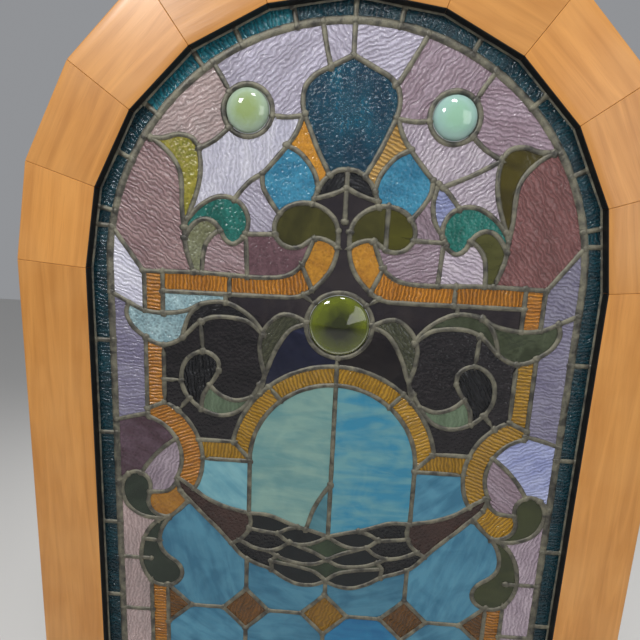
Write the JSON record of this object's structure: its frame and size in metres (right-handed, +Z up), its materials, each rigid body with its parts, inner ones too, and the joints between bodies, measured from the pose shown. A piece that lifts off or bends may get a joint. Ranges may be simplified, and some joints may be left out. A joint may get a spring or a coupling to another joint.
{
  "type": "stained glass window",
  "caption": "Arched leaded stained glass window in a mitred board frame, with scrollwork, domed jewels, a boat under an arch and an octagon lattice.",
  "frame": {"origin": "middle of the sill face under the bottom rail, in the middle of the frame's depth", "axes": "+X to the right seen from the front, -Y the front face, +Z up to the crown of the arch"},
  "size_m": [0.69, 0.028, 1.1409],
  "materials": {
    "maple": "clear satin varnish on maple",
    "lead_came": "aged grey lead with tinned solder joints",
    "border_glass": "rippled art glass",
    "top_glass": "rippled art glass",
    "crescent_glass": "rippled art glass",
    "mauve_glass": "rippled art glass",
    "petal_glass": "rippled art glass",
    "mauve_field_glass": "rippled art glass",
    "olive_scroll_glass": "rippled art glass",
    "teal_scroll_glass": "rippled art glass",
    "amber_band_glass": "rippled art glass",
    "side_glass": "rippled art glass",
    "leaf_glass": "rippled art glass",
    "dark_scroll_glass": "rippled art glass",
    "amber_ring_glass": "rippled art glass",
    "sky_glass": "rippled art glass",
    "hook_glass": "rippled art glass",
    "lower_leaf_glass": "rippled art glass",
    "lower_side_glass": "rippled art glass",
    "lower_strip_glass": "rippled art glass",
    "palmette_glass": "rippled art glass",
    "dark_field_glass": "rippled art glass",
    "jewel_field_glass": "domed pressed glass",
    "amber_arch_glass": "rippled art glass",
    "boat_glass": "rippled art glass",
    "lattice_glass": "rippled art glass",
    "opal_jewel_left": "domed pressed glass",
    "opal_jewel_right": "domed pressed glass",
    "centre_rondel": "domed pressed glass"
  },
  "bodies": {
    "root": {"amber_arch_glass": "amber_arch_glass", "amber_band_glass_left": "amber_band_glass", "amber_band_glass_right": "amber_band_glass", "amber_ring_glass_left": "amber_ring_glass", "amber_ring_glass_right": "amber_ring_glass", "arch_board_1": "maple", "arch_board_10": "maple", "arch_board_2": "maple", "arch_board_3": "maple", "arch_board_4": "maple", "arch_board_5": "maple", "arch_board_6": "maple", "arch_board_7": "maple", "arch_board_8": "maple", "arch_board_9": "maple", "boat_glass": "boat_glass", "border_glass_left": "border_glass", "border_glass_right": "border_glass", "bottom_rail": "maple", "centre_rondel": "centre_rondel", "crescent_glass_left": "crescent_glass", "crescent_glass_right": "crescent_glass", "dark_field_glass": "dark_field_glass", "dark_scroll_glass_left": "dark_scroll_glass", "dark_scroll_glass_right": "dark_scroll_glass", "hook_glass_left": "hook_glass", "hook_glass_right": "hook_glass", "jewel_field_glass": "jewel_field_glass", "lattice_glass": "lattice_glass", "leadwork": "lead_came", "leaf_glass_left": "leaf_glass", "leaf_glass_right": "leaf_glass", "lower_leaf_glass_left": "lower_leaf_glass", "lower_leaf_glass_right": "lower_leaf_glass", "lower_side_glass_left": "lower_side_glass", "lower_side_glass_right": "lower_side_glass", "lower_strip_glass_left": "lower_strip_glass", "lower_strip_glass_right": "lower_strip_glass", "mauve_field_glass_left": "mauve_field_glass", "mauve_field_glass_right": "mauve_field_glass", "mauve_glass_left": "mauve_glass", "mauve_glass_right": "mauve_glass", "olive_scroll_glass_left": "olive_scroll_glass", "olive_scroll_glass_right": "olive_scroll_glass", "opal_jewel_left": "opal_jewel_left", "opal_jewel_right": "opal_jewel_right", "palmette_glass": "palmette_glass", "petal_glass_left": "petal_glass", "petal_glass_right": "petal_glass", "side_glass_left": "side_glass", "side_glass_right": "side_glass", "sky_glass_left": "sky_glass", "sky_glass_right": "sky_glass", "stile_left": "maple", "stile_right": "maple", "teal_scroll_glass_left": "teal_scroll_glass", "teal_scroll_glass_right": "teal_scroll_glass", "top_glass_left": "top_glass", "top_glass_right": "top_glass"}
  },
  "joints": []
}
